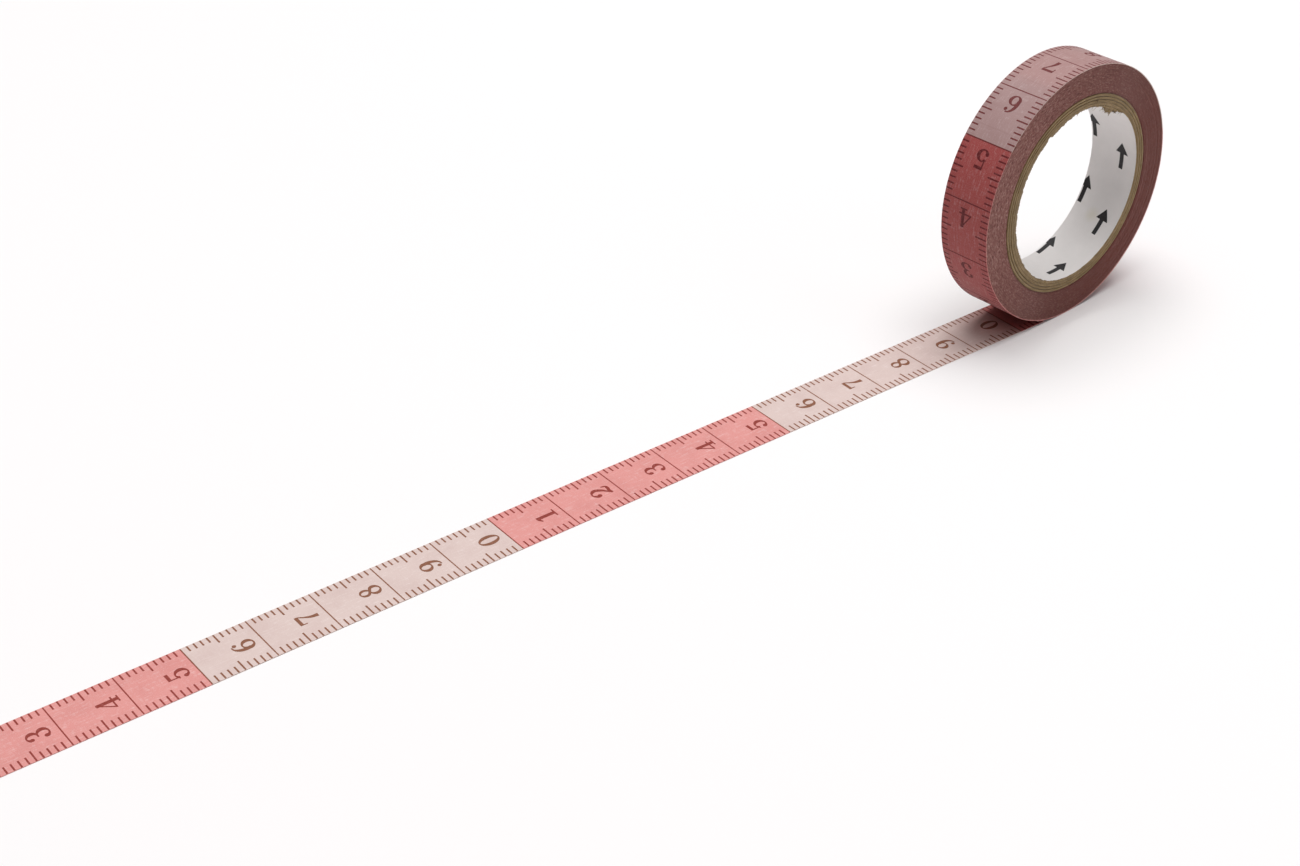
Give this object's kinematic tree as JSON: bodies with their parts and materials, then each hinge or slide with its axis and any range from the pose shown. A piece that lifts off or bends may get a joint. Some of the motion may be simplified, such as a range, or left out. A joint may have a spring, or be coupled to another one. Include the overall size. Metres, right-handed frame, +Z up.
{
  "type": "roll of printed masking tape",
  "caption": "Narrow roll of paper masking tape on a board core, standing on edge, with a strip laid out flat from under it; turning the roll feeds the strip.",
  "frame": {"origin": "centre of the core's bore, midway across the tape's width", "axes": "+Y along the core's axis, +X from the laid tape's free end towards the roll, +Z up from the surface that the roll stands on"},
  "size_m": [0.2273, 0.0256, 0.0442],
  "materials": {
    "liner_paper": "smooth white liner paper with a repeated dark mark",
    "kraft_board": "raw kraft board, fuzzy cut edge",
    "wound_paper": "edges of many wound turns, matt, finely lined",
    "printed_paper": "thin translucent washi paper printed with a centimetre scale, satin"
  },
  "bodies": {
    "fold": {"peel_fold": "printed_paper"},
    "roll": {"core_liner": "liner_paper", "core_ply_inner": "kraft_board", "core_ply_middle": "kraft_board", "core_ply_outer": "kraft_board", "wound_tape": "wound_paper", "outer_turn": "printed_paper"},
    "strip": {"laid_tape": "printed_paper"}
  },
  "joints": [
    {"name": "roll_spin", "type": "hinge", "parent": "fold", "child": "roll", "pos_m": [0, 0, 0], "axis": [0, -1, 0], "range_deg": [0, 360]},
    {"name": "tape_pull", "type": "slide", "parent": "fold", "child": "strip", "axis": [-0.9969, 0.0785, 0], "range_m": [0, 0.139]}
  ],
  "couplings": [
    {"joint": "tape_pull", "follows": "roll_spin", "m_per_rad": 0.0221}
  ]
}
